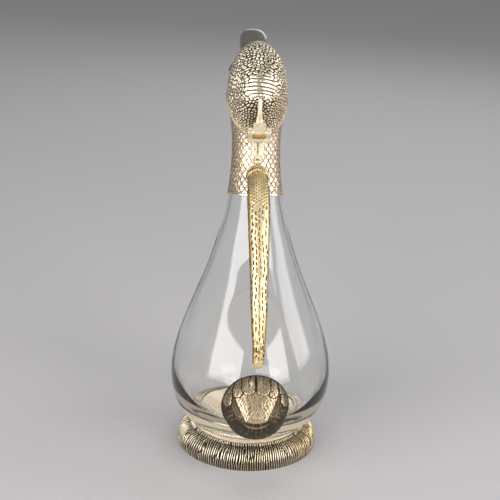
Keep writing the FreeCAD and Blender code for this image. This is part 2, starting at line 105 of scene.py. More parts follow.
def make(name, verts_mm, faces, relief=None, smooth_shade=True, extra=None):
    me = bpy.data.meshes.new(name)
    v = (np.asarray(verts_mm, float) * MM)
    me.from_pydata(v.tolist(), [], [list(map(int, f)) for f in faces])
    me.update()
    if relief is not None:
        a = me.attributes.new("relief", "FLOAT", "POINT")
        a.data.foreach_set("value", np.asarray(relief, np.float32))
    if extra is not None:
        a = me.attributes.new("wear", "FLOAT", "POINT")
        a.data.foreach_set("value", np.asarray(extra, np.float32))
    ob = bpy.data.objects.new(name, me)
    bpy.context.scene.collection.objects.link(ob)
    if smooth_shade:
        me.polygons.foreach_set("use_smooth", [True] * len(me.polygons))
    bm = bmesh.new(); bm.from_mesh(me)
    bmesh.ops.recalc_face_normals(bm, faces=bm.faces)
    bm.to_mesh(me); bm.free()
    return ob


def grid(nu, nv, wrap_u=True, wrap_v=False, off=0):
    """faces of a grid whose index is v * nu + u"""
    fs = []
    U_ = nu if wrap_u else nu - 1
    V_ = nv if wrap_v else nv - 1
    for j in range(V_):
        j2 = (j + 1) % nv
        for i in range(U_):
            i2 = (i + 1) % nu
            fs.append((off + j * nu + i, off + j * nu + i2, off + j2 * nu + i2, off + j2 * nu + i))
    return fs


def put(ob, mat, body, nodes):
    ob.data.materials.clear()
    ob.data.materials.append(mat)
    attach(ob, body)
    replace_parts(ob, *nodes) if nodes else None
    return ob


# -------------------------------------------------------------- materials
def new_mat(name):
    mt = bpy.data.materials.new(name)
    mt.use_nodes = True
    nt = mt.node_tree
    return mt, nt, nt.nodes["Principled BSDF"]


def node(nt, kind, **kw):
    n = nt.nodes.new(kind)
    for k, v in kw.items():
        if k in n.inputs:
            n.inputs[k].default_value = v
        else:
            setattr(n, k, v)
    return n


def ramp(nt, stops, interp="LINEAR"):
    r = nt.nodes.new("ShaderNodeValToRGB")
    r.color_ramp.interpolation = interp
    els = r.color_ramp.elements
    while len(els) < len(stops):
        els.new(0.5)
    for e, (p, c) in zip(els, stops):
        e.position = p
        e.color = (*c, 1) if len(c) == 3 else c
    return r


def relief_metal(name, crest, mid, deep, rough=(0.62, 0.30), warm=None, warm_amt=0.35, fine=900.0, bump=0.05, tarnish=0.35):
    """cast metal with dark patina left in the recesses; 'relief' is 0 in a groove and 1 on a crest"""
    mt, nt, bs = new_mat(name)
    L = nt.links
    at = node(nt, "ShaderNodeAttribute"); at.attribute_name = "relief"
    tc = node(nt, "ShaderNodeTexCoord")
    n1 = node(nt, "ShaderNodeTexNoise"); n1.inputs["Scale"].default_value = 120.0; n1.inputs["Detail"].default_value = 4.0
    n2 = node(nt, "ShaderNodeTexNoise"); n2.inputs["Scale"].default_value = fine; n2.inputs["Detail"].default_value = 3.0
    n3 = node(nt, "ShaderNodeTexNoise"); n3.inputs["Scale"].default_value = 34.0; n3.inputs["Detail"].default_value = 3.0
    for n in (n1, n2, n3):
        L.new(tc.outputs["Object"], n.inputs["Vector"])
    ad = node(nt, "ShaderNodeMath", operation="MULTIPLY_ADD")
    L.new(n1.outputs["Fac"], ad.inputs[0]); ad.inputs[1].default_value = 0.22; ad.inputs[2].default_value = -0.11
    su = node(nt, "ShaderNodeMath", operation="ADD")
    L.new(at.outputs["Fac"], su.inputs[0]); L.new(ad.outputs[0], su.inputs[1])
    cr = ramp(nt, [(0.0, deep), (0.28, tuple(0.7 * d + 0.3 * m_ * 0.35 for d, m_ in zip(deep, mid))), (0.52, mid), (0.88, crest)])
    L.new(su.outputs[0], cr.inputs["Fac"])
    col = cr.outputs["Color"]
    if warm is not None:
        wr = ramp(nt, [(0.50, (0, 0, 0)), (0.72, (1, 1, 1))])
        L.new(n3.outputs["Fac"], wr.inputs["Fac"])
        am = node(nt, "ShaderNodeMath", operation="MULTIPLY"); am.inputs[1].default_value = warm_amt
        L.new(wr.outputs["Color"], am.inputs[0])
        mx = node(nt, "ShaderNodeMix", data_type="RGBA", blend_type="MULTIPLY")
        L.new(am.outputs[0], mx.inputs[0]); L.new(col, mx.inputs[6]); mx.inputs[7].default_value = (*warm, 1)
        col = mx.outputs[2]
    L.new(col, bs.inputs["Base Color"])
    rr = ramp(nt, [(0.15, (rough[0],) * 3), (0.8, (rough[1],) * 3)])
    L.new(su.outputs[0], rr.inputs["Fac"])
    ra = node(nt, "ShaderNodeMath", operation="MULTIPLY_ADD")
    L.new(n2.outputs["Fac"], ra.inputs[0]); ra.inputs[1].default_value = 0.16
    sc = node(nt, "ShaderNodeMath", operation="SUBTRACT"); sc.inputs[1].default_value = 0.08
    L.new(rr.outputs["Color"], sc.inputs[0]); L.new(sc.outputs[0], ra.inputs[2])
    L.new(ra.outputs[0], bs.inputs["Roughness"])
    mr = ramp(nt, [(0.16, (0.35,) * 3), (0.42, (1.0,) * 3)])
    L.new(su.outputs[0], mr.inputs["Fac"]); L.new(mr.outputs["Color"], bs.inputs["Metallic"])
    bp = node(nt, "ShaderNodeBump"); bp.inputs["Strength"].default_value = bump * 4; bp.inputs["Distance"].default_value = 0.0002
    L.new(n2.outputs["Fac"], bp.inputs["Height"]); L.new(bp.outputs["Normal"], bs.inputs["Normal"])
    return mt


def polished(name, col, col2, rough=0.14, scale=60.0, scratch=0.05):
    mt, nt, bs = new_mat(name)
    L = nt.links
    tc = node(nt, "ShaderNodeTexCoord")
    n1 = node(nt, "ShaderNodeTexNoise"); n1.inputs["Scale"].default_value = scale; n1.inputs["Detail"].default_value = 5.0
    mp = node(nt, "ShaderNodeMapping"); mp.inputs["Scale"].default_value = (900.0, 160.0, 160.0)
    n2 = node(nt, "ShaderNodeTexNoise"); n2.inputs["Scale"].default_value = 1.0; n2.inputs["Detail"].default_value = 2.0
    L.new(tc.outputs["Object"], n1.inputs["Vector"]); L.new(tc.outputs["Object"], mp.inputs["Vector"]); L.new(mp.outputs[0], n2.inputs["Vector"])
    cr = ramp(nt, [(0.32, col2), (0.62, col)])
    L.new(n1.outputs["Fac"], cr.inputs["Fac"]); L.new(cr.outputs["Color"], bs.inputs["Base Color"])
    rr = node(nt, "ShaderNodeMath", operation="MULTIPLY_ADD")
    L.new(n1.outputs["Fac"], rr.inputs[0]); rr.inputs[1].default_value = 0.16; rr.inputs[2].default_value = rough - 0.05
    L.new(rr.outputs[0], bs.inputs["Roughness"])
    bs.inputs["Metallic"].default_value = 1.0
    bp = node(nt, "ShaderNodeBump"); bp.inputs["Strength"].default_value = scratch; bp.inputs["Distance"].default_value = 0.0001
    L.new(n2.outputs["Fac"], bp.inputs["Height"]); L.new(bp.outputs["Normal"], bs.inputs["Normal"])
    return mt


M_HEAD = relief_metal("aged_silver_head", (0.86, 0.79, 0.62), (0.48, 0.41, 0.29), (0.012, 0.009, 0.006), rough=(0.6, 0.27), warm=(0.88, 0.72, 0.52), warm_amt=0.45)
M_NECK = relief_metal("aged_silver_neck", (0.72, 0.61, 0.47), (0.42, 0.32, 0.22), (0.012, 0.009, 0.006), rough=(0.6, 0.27), warm=(0.90, 0.68, 0.46), warm_amt=0.6)
M_RING = relief_metal("aged_silver_ring", (0.78, 0.70, 0.53), (0.42, 0.36, 0.25), (0.010, 0.008, 0.005), rough=(0.62, 0.27), warm=(0.90, 0.72, 0.40), warm_amt=0.6)
M_TAIL = relief_metal("aged_bronze_tail", (0.72, 0.60, 0.42), (0.42, 0.32, 0.19), (0.016, 0.012, 0.008), rough=(0.6, 0.32), warm=(0.85, 0.70, 0.50), warm_amt=0.4)
M_HANDLE = relief_metal("pale_gilt", (0.90, 0.78, 0.50), (0.62, 0.45, 0.22), (0.022, 0.013, 0.006), rough=(0.55, 0.40), warm=(0.94, 0.76, 0.50), warm_amt=0.55)
M_LIP = polished("gilt_lip", (0.84, 0.66, 0.46), (0.74, 0.54, 0.33), 0.28)
M_BRIGHT = relief_metal("worn_silver", (0.94, 0.87, 0.68), (0.78, 0.67, 0.46), (0.05, 0.04, 0.025), rough=(0.5, 0.40), warm=(0.90, 0.72, 0.46), warm_amt=0.5)
M_TONGUE = relief_metal("worn_silver_gilt", (0.94, 0.87, 0.68), (0.82, 0.54, 0.20), (0.34, 0.18, 0.05), rough=(0.42, 0.38))
M_BEAD = polished("bead_silver", (0.93, 0.90, 0.84), (0.88, 0.76, 0.48), 0.20, scale=90.0)
M_BILL = polished("polished_bill", (0.50, 0.47, 0.42), (0.40, 0.36, 0.32), 0.24)
M_PIN = polished("pin_brass", (0.80, 0.50, 0.16), (0.62, 0.36, 0.10), 0.26)
M_PLATE = polished("plate_metal", (0.70, 0.66, 0.58), (0.50, 0.45, 0.36), 0.34)


def glowing_cement_mat():
    mt, nt, bs = new_mat("cement")
    L = nt.links
    tc = node(nt, "ShaderNodeTexCoord")
    n1 = node(nt, "ShaderNodeTexNoise"); n1.inputs["Scale"].default_value = 140.0; n1.inputs["Detail"].default_value = 5.0
    L.new(tc.outputs["Object"], n1.inputs["Vector"])
    cr = ramp(nt, [(0.3, (0.80, 0.66, 0.46)), (0.7, (0.93, 0.82, 0.63))])
    L.new(n1.outputs["Fac"], cr.inputs["Fac"]); L.new(cr.outputs["Color"], bs.inputs["Base Color"])
    bs.inputs["Roughness"].default_value = 0.85
    # painted glow: the pale plaster emits light in its own colour so that it reads bright through the glass
    L.new(cr.outputs["Color"], bs.inputs["Emission Color"])
    bs.inputs["Emission Strength"].default_value = 0.38
    return mt


M_CEMENT_GLOW = glowing_cement_mat()


def glass_mat():
    mt, nt, bs = new_mat("clear_glass")
    bs.inputs["Base Color"].default_value = (0.985, 0.992, 0.988, 1)
    bs.inputs["Roughness"].default_value = 0.0
    bs.inputs["IOR"].default_value = 1.50
    bs.inputs["Transmission Weight"].default_value = 1.0
    L = nt.links
    tc = node(nt, "ShaderNodeTexCoord")
    mp = node(nt, "ShaderNodeMapping"); mp.inputs["Scale"].default_value = (26.0, 26.0, 9.0)
    n1 = node(nt, "ShaderNodeTexNoise"); n1.inputs["Scale"].default_value = 1.0; n1.inputs["Detail"].default_value = 1.0
    L.new(tc.outputs["Object"], mp.inputs["Vector"]); L.new(mp.outputs[0], n1.inputs["Vector"])
    bp = node(nt, "ShaderNodeBump"); bp.inputs["Strength"].default_value = 0.10; bp.inputs["Distance"].default_value = 0.0015
    L.new(n1.outputs["Fac"], bp.inputs["Height"]); L.new(bp.outputs["Normal"], bs.inputs["Normal"])
    return mt


M_GLASS = glass_mat()


def eye_mat():
    mt, nt, bs = new_mat("eye_bead")
    L = nt.links
    tc = node(nt, "ShaderNodeTexCoord")
    n1 = node(nt, "ShaderNodeTexNoise"); n1.inputs["Scale"].default_value = 400.0
    L.new(tc.outputs["Object"], n1.inputs["Vector"])
    cr = ramp(nt, [(0.35, (0.012, 0.009, 0.008)), (0.7, (0.05, 0.03, 0.02))])
    L.new(n1.outputs["Fac"], cr.inputs["Fac"]); L.new(cr.outputs["Color"], bs.inputs["Base Color"])
    bs.inputs["Roughness"].default_value = 0.08
    bs.inputs["Coat Weight"].default_value = 0.6
    return mt


M_EYE = eye_mat()


# ------------------------------------------------ shared shape data (mm)
LEAN = math.radians(13.5)
NECK0 = np.array([0.0, 9.8, 190.6])
AX = np.array([0.0, math.sin(LEAN), math.cos(LEAN)])
FW = np.array([0.0, math.cos(LEAN), -math.sin(LEAN)])
SK_C = np.array([0.0, 25.0, 261.0])
SK_T = math.radians(20.0)
SK_U = np.array([0.0, math.sin(SK_T), math.cos(SK_T)])      # long axis
SK_W = np.array([0.0, math.cos(SK_T), -math.sin(SK_T)])
SK_R = (21.6, 28.6, 36.0)
NECK_R = np.array([(0.0, 19.7), (1.6, 19.6), (5.0, 19.2), (10.0, 18.6), (15.0, 18.1), (20.0, 17.7), (26.0, 17.4),
                   (33.0, 17.3), (40.0, 17.5), (47.0, 18.1), (54.0, 19.0), (60.0, 19.6)])
SEAM = np.array([(-30, 236.6), (-14, 236.6), (-2, 236.6), (3.5, 237.2), (8, 240.0), (14, 246.4), (20, 251.9),
                 (28, 257.8), (38, 262.8), (50, 268.2), (70, 279.6), (92, 292.4), (116, 306.5)])


def seam_z(y):
    return spline(SEAM[:, 0], SEAM[:, 1], y)


def skull_f(p, grow=0.0):
    d = p - SK_C
    u, w, x = d @ SK_U, d @ SK_W, d[:, 0]
    a, b, c = SK_R[0] + grow, SK_R[1] + grow, SK_R[2] + grow
    k0 = np.sqrt((x / a) ** 2 + (w / b) ** 2 + (u / c) ** 2) + 1e-9
    k1 = np.sqrt((x / a ** 2) ** 2 + (w / b ** 2) ** 2 + (u / c ** 2) ** 2) + 1e-9
    return k0 * (k0 - 1) / k1


def neck_f(p):
    d = p - NECK0
    s = d @ AX
    rad = np.sqrt(d[:, 0] ** 2 + (d @ FW) ** 2)
    r = np.interp(s, NECK_R[:, 0], spline(NECK_R[:, 0], NECK_R[:, 1], NECK_R[:, 0]))
    r = np.where((s > 0) & (s < 60), spline(NECK_R[:, 0], NECK_R[:, 1], np.clip(s, 0, 60)), r)
    return np.maximum(rad - r, s - 60.0)


def union_f(p, k=1.2):
    a, b = skull_f(p), neck_f(p)
    h = np.clip(0.5 + 0.5 * (b - a) / k, 0, 1)
    return b * (1 - h) + a * h - k * h * (1 - h)


def grad(f, p, e=0.02):
    g = np.zeros_like(p)
    for i in range(3):
        q = p.copy(); q[:, i] += e
        r = p.copy(); r[:, i] -= e
        g[:, i] = (f(q) - f(r)) / (2 * e)
    return g / (np.linalg.norm(g, axis=1)[:, None] + 1e-9)


def node_copy(name, new, voxel=None, iters=0, lam=0.5, sharp=None):
    """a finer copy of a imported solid, in mm coordinates kept in metres"""
    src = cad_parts[name]
    me = src.data.copy()
    me.name = new
    me.transform(src.matrix_world)
    ob = bpy.data.objects.new(new, me)
    bpy.context.scene.collection.objects.link(ob)
    bm = bmesh.new(); bm.from_mesh(me)
    bmesh.ops.remove_doubles(bm, verts=bm.verts, dist=1e-6)
    if sharp is not None:
        for e in bm.edges:
            e.smooth = not (len(e.link_faces) == 2 and e.calc_face_angle(0.0) > math.radians(sharp))
    bm.to_mesh(me); bm.free()
    me.materials.clear()
    if voxel:
        md = ob.modifiers.new("remesh", "REMESH")
        md.mode = "VOXEL"; md.voxel_size = voxel * MM; md.use_smooth_shade = True
        if iters:
            sm = ob.modifiers.new("smooth", "SMOOTH"); sm.factor = lam; sm.iterations = iters
        dg = bpy.context.evaluated_depsgraph_get()
        out = bpy.data.meshes.new_from_object(ob.evaluated_get(dg))
        ob.modifiers.clear()
        old = ob.data
        ob.data = out
        bpy.data.meshes.remove(old)
        ob.data.name = new
    for poly in ob.data.polygons:
        poly.use_smooth = True
    return ob


def coords(ob):
    n = len(ob.data.vertices)
    a = np.empty(n * 3, np.float64)
    ob.data.vertices.foreach_get("co", a)
    return a.reshape(-1, 3) / MM


def set_coords(ob, p):
    ob.data.vertices.foreach_set("co", (np.asarray(p) * MM).astype(np.float32).ravel())
    ob.data.update()


def set_relief(ob, rel):
    a = ob.data.attributes.get("relief") or ob.data.attributes.new("relief", "FLOAT", "POINT")
    a.data.foreach_set("value", np.asarray(rel, np.float32))


def worley(q, seeds_min, seed):
    """cell pattern: distance to nearest seed, gap to the second, and a value per cell"""
    r = np.random.default_rng(seed)
    order = r.permutation(len(q))[:30000]
    cellmap = {}
    seeds = []
    for i in order:
        p = q[i]
        key = (int(p[0] // seeds_min), int(p[1] // seeds_min), int(p[2] // seeds_min))
        ok = True
        for a in (-1, 0, 1):
            for b in (-1, 0, 1):
                for c in (-1, 0, 1):
                    for s in cellmap.get((key[0] + a, key[1] + b, key[2] + c), ()):
                        if (s[0] - p[0]) ** 2 + (s[1] - p[1]) ** 2 + (s[2] - p[2]) ** 2 < seeds_min ** 2:
                            ok = False
                            break
                    if not ok:
                        break
                if not ok:
                    break
            if not ok:
                break
        if ok:
            cellmap.setdefault(key, []).append(p)
            seeds.append(p)
    kd = kdtree.KDTree(len(seeds))
    for i, s in enumerate(seeds):
        kd.insert(s, i)
    kd.balance()
    d1 = np.empty(len(q)); d2 = np.empty(len(q)); idx = np.empty(len(q), int)
    for i, p in enumerate(q):
        f = kd.find_n(p, 2)
        d1[i], d2[i], idx[i] = f[0][2], f[1][2], f[0][1]
    val = r.random(len(seeds))
    return d1, d2, val[idx]


CAMP = np.array([-66.245, -845.479, 451.092])
BASIS = np.array([[R.x, R.y, R.z], [U.x, U.y, U.z], [B.x, B.y, B.z]])


def face_xy(p):
    """flat drawing coordinates used to lay out the chased patterns"""
    d_ = (p - CAMP) @ BASIS.T
    return 250 + 1250 * d_[:, 0] / -d_[:, 2], 250 - 1250 * d_[:, 1] / -d_[:, 2]


def vert_normals(ob):
    n = len(ob.data.vertices)
    a = np.empty(n * 3)
    ob.data.vertices.foreach_get("normal", a)
    return a.reshape(-1, 3)


VOX = 0.3

# ------------------------------------------------------------ head lid
head = node_copy("head_lid", "duck_head", VOX, 2)
p = coords(head)
f = union_f(p)
outer = f > -0.75
z_seam = seam_z(np.clip(p[:, 1], -28, 114))
above = p[:, 2] - z_seam
edge = smooth(0.3, 1.3, above)
po = p[outer]
for _ in range(3):
    g = grad(union_f, po)
    po = po - g * union_f(po)[:, None] * 0.95
# keep points next to the seam and bill opening where they are
keep = smooth(0.0, 0.5, above[outer])[:, None]
po = po * keep + p[outer] * (1 - keep)
g = grad(union_f, po)
d = po - SK_C
hz, hy, hx = po[:, 2], po[:, 1], po[:, 0]
X_, Y_ = face_xy(po)
seen = smooth(0.05, 0.30, g @ BASIS[2])
low = smooth(95.5, 99.5, Y_) * seen * smooth(27, 23, np.abs(X_ - 258.5))
crown = smooth(276, 287, hz)
ax_ = 5.1 + (3.0 - 5.1) * crown
ab_ = 2.95 + (2.35 - 2.95) * crown
ax_ = ax_ + (3.5 - ax_) * low
ab_ = ab_ + (2.15 - ab_) * low
side_ = smooth(9, 17, np.abs(hx)) * (1 - crown)
ax_ = ax_ + (3.7 - ax_) * side_
wob = vnoise(hx / 6, hy / 6, hz / 6, 3)
tiltz = 0.10 * np.abs(hx) + 0.010 * hx ** 2
q = np.stack([hx / ax_ + 0.35 * wob, (hy - 5.0) / ab_ + 0.2 * vnoise(hx / 7, hy / 7, hz / 7, 4), (hz - 276.0 + tiltz) / ab_ + 0.35 * vnoise(hx / 5, hy / 8, hz / 5, 7)], 1)
d1, d2, cv = worley(q, 0.72, 21)
gap = d2 - d1
cob = smooth(0.06 + 0.02 * low + 0.06 * crown, 0.25 + 0.07 * low + 0.12 * crown, gap)
dome = 1 - 0.5 * np.clip(d1 / 0.75, 0, 1) ** 2
h_cob = cob * (0.80 + 0.20 * dome) * (0.88 + 0.12 * cv)
# long cross creases on the nape
xc = X_ - 262.0
yc_ = Y_ - 0.10 * xc - 0.011 * xc ** 2 + 0.9 * vnoise(X_ / 9, Y_ / 9, 0, 12)
ph = yc_ / 3.75
rowi = np.floor(ph)
fr = ph - rowi
band = smooth(0.04, 0.22, fr) * smooth(0.0, 0.20, 1 - fr) * (1 - 0.10 * np.abs(fr - 0.5))
brk = np.abs(vnoise(X_ / 6.0 + 17 * rowi, rowi * 3.1, 0, 15))
band = band * smooth(0.015, 0.07, brk + 0.02 * smooth(0, 1, np.abs(xc) < 4))
halfw = np.interp(Y_, [72, 80, 88, 97], [6.0, 12.5, 15.5, 12.5])
mask = smooth(71.0, 75.5, Y_) * (1 - smooth(96.8, 98.2, Y_)) * (1 - smooth(-2.0, 2.0, np.abs(xc) - halfw)) * seen
h = h_cob * (1 - mask) + (0.16 + 0.84 * band) * mask
# the hollow under the creases; below that, a painted shadow darkens the colour beside the hinge tongue
h = h * (1 - 0.10 * low)
rim_ = np.exp(-((Y_ - 98.0) / 1.1) ** 2) * smooth(16, 11, np.abs(X_ - 260)) * seen
h = np.clip(h + 0.2 * rim_, 0, 1)
near_t = np.exp(-((X_ - 252.5) / 5.5) ** 2) + 0.8 * np.exp(-((X_ - 265.0) / 4.0) ** 2)
shadow = 1 - 0.42 * low * np.clip(near_t, 0, 1) * smooth(99, 104, Y_) * (1 - smooth(121, 129, Y_))
fade = edge[outer]
amp = 0.80 + 0.25 * low
disp = (-amp * (1 - h)) * fade
po2 = po + g * disp[:, None]
p[outer] = po2
set_coords(head, p)
rel = np.full(len(p), 0.45)
rel[outer] = (h * fade + 0.75 * (1 - fade)) * shadow
set_relief(head, rel)
put(head, M_HEAD, "lid", ["head_lid"])

# ---------------------------------------------------------- neck mount
neck = node_copy("neck_mount", "neck_sleeve", VOX, 2)
p = coords(neck)
f = union_f(p)
outer = f > -0.75
below = seam_z(np.clip(p[:, 1], -28, 114)) - 2.15 - p[:, 2]
po = p[outer]
s_all = (po - NECK0) @ AX
for _ in range(3):
    g = grad(union_f, po)
    po = po - g * union_f(po)[:, None] * 0.95
keep = (smooth(0.0, 0.5, below[outer]) * smooth(0.1, 0.6, s_all))[:, None]
po = po * keep + p[outer] * (1 - keep)
g = grad(union_f, po)
d = po - NECK0
s = d @ AX
th = np.arctan2(d[:, 0], -(d @ FW))          # 0 at the back
NSC = 27


def scales(s, th):
    """height 0..1 of the overlapping feather scales at height s up the neck and angle th round it"""
    row_s = s + 0.45 * vnoise(th * 5, s / 5, 0, 41)
    rowp = spline([-5, 0, 10, 20, 30, 40, 50, 60, 75], [-1.5, 0, 3.0, 6.1, 9.5, 13.3, 17.6, 22.2, 29.5], np.clip(row_s, -5, 75))
    tu = (th + 0.018 * vnoise(th * 9, s / 4, 0, 43)) / (2 * math.pi) * NSC
    best_t = np.full(len(s), 9.0); best_du = np.zeros(len(s)); gap_up = np.full(len(s), 9.0)
    base = np.floor(rowp)
    for k in (-2, -1, 0, 1, 2):
        row = base + k
        off = 0.5 * (np.mod(row, 2))
        col = np.round(tu - off)
        du = (tu - off - col) * 2                 # -1..1 across a scale
        jit = 0.22 * (_hash(row.astype(np.int64), np.mod(col, NSC).astype(np.int64), np.zeros(len(s), np.int64), 77) - 0.5)
        tip = row + jit + 0.95 * np.abs(du) ** 1.25 - 0.45
        t = rowp - tip
        better = (t >= 0) & (t < best_t)
        best_du = np.where(better, du, best_du)
        best_t = np.where(better, t, best_t)
        gap_up = np.where(t < 0, np.minimum(gap_up, -t), gap_up)
    t = np.clip(best_t, 0, 2)
    lipup = np.exp(-(t / 0.16) ** 2) * 0.25
    hs = 0.92 - 0.22 * smooth(0.15, 1.3, t) + lipup * 0.4
    hs = hs * smooth(0.04, 0.30, gap_up)
    hs = hs - 0.14 * np.exp(-((np.abs(best_du) - 0.0) / 0.10) ** 2) * smooth(0.25, 0.5, t)      # shaft groove
    hs = hs - 0.06 * (0.5 + 0.5 * np.cos(2 * math.pi * (np.abs(best_du) * 1.5 + t * 1.9))) * smooth(0.35, 0.7, t)
    return np.clip(hs, 0, 1), gap_up


hs, _g = scales(s, th)
# a plain strip where the hinge strap is soldered down
strip = (1 - smooth(4.6, 5.4, np.abs(po[:, 0]))) * smooth(28, 31, s) * (d @ FW < 0)
worn = (1 - smooth(6.0, 12.0, np.abs(po[:, 0] + 3))) * smooth(14, 20, s) * (1 - smooth(30, 36, s)) * (d @ FW < 0)
hs = hs * (1 - 0.35 * worn) + 0.80 * 0.35 * worn
hs = hs * (1 - strip) + 0.75 * strip
fade = smooth(0.3, 1.2, below[outer]) * smooth(0.6, 1.6, s)
disp = (-0.80 * (1 - hs)) * fade
p[outer] = po + g * disp[:, None]
set_coords(neck, p)
rel = np.full(len(p), 0.40)
rel[outer] = hs * fade + 0.7 * (1 - fade)
set_relief(neck, rel)
put(neck, M_NECK, "jug", ["neck_mount"])


# ---------------------------------------------------------------- glass
OUT_SEC = [(5, 19, 20, 2), (6.4, 25.5, 26.5, 2), (10.5, 32, 33, 1.6), (17, 38.3, 39.6, 0.6), (25, 45.8, 48.8, -2.6), (35, 52.2, 55.8, -6),
           (48, 56.3, 60.2, -9.6), (62, 57.8, 61.8, -12), (76, 56.6, 60, -12.6), (92, 52.4, 55.2, -11.2), (108, 46.4, 48.4, -8.2),
           (126, 38.8, 40, -4), (144, 31.6, 32.2, 0), (160, 26.4, 26.6, 3.2)]
IN_SEC = [(21.5, 14, 14.4, 0.6), (23.2, 25.5, 26.6, 0), (27.5, 35.5, 37.6, -2), (35, 44.4, 47.4, -5), (48, 51.4, 55, -9.2),
          (62, 54.6, 58.4, -11.8), (76, 53.9, 57.3, -12.6), (92, 49.9, 52.7, -11.2), (108, 43.9, 45.9, -8.2), (126, 36.3, 37.5, -4),
          (144, 29.1, 29.7, 0), (160, 24, 24.2, 3.2)]
NECK_SEC = [(-17, 22), (-8, 20.1), (-1, 18.8), (4, 17.5), (10, 15.9), (18, 15), (26, 15)]


def glass_rows(secs, shrink, s_last, n):
    rows = [(y, z, a, b, 0.0) for z, a, b, y in secs]
    for j, (s_, r_) in enumerate(NECK_SEC):
        ss = s_last if j == len(NECK_SEC) - 1 else s_
        c = NECK0 + AX * ss
        rows.append((c[1], c[2], r_ - shrink, r_ - shrink, LEAN if j else LEAN - math.radians(2.5)))
    rows = np.array(rows)
    step = np.sqrt(np.diff(rows[:, 1]) ** 2 + np.diff(rows[:, 2]) ** 2 + np.diff(rows[:, 0]) ** 2)
    t = np.concatenate([[0], np.cumsum(step)])
    q = np.linspace(0, t[-1], n)
    return np.stack([spline(t, rows[:, k], q) for k in range(5)], 1)


def glass_mesh():
    nu = 240
    n1 = 260
    a = np.linspace(0, 2 * math.pi, nu, endpoint=False)
    rings = []

    def ring(y, z, ra, rb, tilt):
        rings.append(np.stack([(ra - 0.05) * np.cos(a), y + rb * np.sin(a) * math.cos(tilt), z - rb * np.sin(a) * math.sin(tilt)], 1))

    out = glass_rows(OUT_SEC, 0.0, 26.0, n1)
    inn = glass_rows(IN_SEC, 2.3, 26.0, n1)
    for k in (0.15, 0.4, 0.65, 0.85, 0.95):
        ring(out[0, 0], out[0, 1], out[0, 2] * k, out[0, 3] * k, 0)
    for r_ in out:
        ring(*r_)
    c = NECK0 + AX * 26.0
    for rr_ in (14.4, 13.5):
        ring(c[1], c[2], rr_, rr_, LEAN)
    for r_ in inn[::-1]:
        ring(*r_)
    for k in (0.9, 0.65, 0.4, 0.15):
        ring(inn[0, 0], inn[0, 1], inn[0, 2] * k, inn[0, 3] * k, 0)
    v = np.concatenate(rings)
    nr = len(rings)
    f = grid(nu, nr, True, False)
    v = np.concatenate([v, [[0, out[0, 0], out[0, 1]], [0, inn[0, 0], inn[0, 1]]]])
    n = nu * nr
    for i in range(nu):
        j = (i + 1) % nu
        f.append((n, j, i))
        f.append((n + 1, (nr - 1) * nu + i, (nr - 1) * nu + j))
    return make("glass_flask", v, f)


glass = glass_mesh()
put(glass, M_GLASS, "jug", ["glass_body"])

_rows = glass_rows(OUT_SEC, 0.0, 26.0, 400)


def glass_f(p):
    """rough signed distance to the outer face of the glass"""
    best = np.full(len(p), 1e9)
    out = np.zeros(len(p))
    for y, z, a, b, tl in _rows:
        dz = (p[:, 2] - z) * math.cos(tl) + (p[:, 1] - y) * math.sin(tl)
        dy = (p[:, 1] - y) * math.cos(tl) - (p[:, 2] - z) * math.sin(tl)
        rho = np.sqrt((p[:, 0] / a) ** 2 + (dy / b) ** 2)
        f_ = (rho - 1) * 0.5 * (a + b)
        use = np.abs(dz) < best
        best = np.where(use, np.abs(dz), best)
        out = np.where(use, f_, out)
    return out


def cement(name, new):
    """bedding compound, pressed right against the glass so that there's no air between"""
    ob = node_copy(name, new, sharp=40)
    q_ = coords(ob)
    f_ = glass_f(q_)
    g_ = grad(glass_f, q_, 0.05)
    near = np.abs(f_) < 0.6
    q_[near] -= g_[near] * (f_[near] + 0.12)[:, None]
    set_coords(ob, q_)
    put(ob, M_CEMENT_GLOW, "jug", [name])
    return ob


for nm in ("base_cement", "tail_cement", "neck_cement"):
    cement(nm, nm + "_fill")

# ------------------------------------------------------------- base ring
RP = np.array([(51.6, 0), (52, .5), (52, 2.2), (51.7, 4.5), (51.3, 6.8), (50.4, 9), (49, 11.2), (47.4, 12.9), (45.6, 14), (43.8, 14.7),
               (42.6, 15.3), (41.7, 16.4), (40.7, 17), (39.9, 16.9), (39.5, 16.2), (39, 13.5), (38.4, 8), (38.2, 1.3)], float)
RI = np.array([(40.2, 1.3), (40.4, 8), (41.4, 13.2), (43.4, 12.7), (45.4, 11.9), (47, 10.6), (48.4, 8.6), (49.3, 6.4), (49.8, 4), (49.9, 2), (49.9, 0)], float)


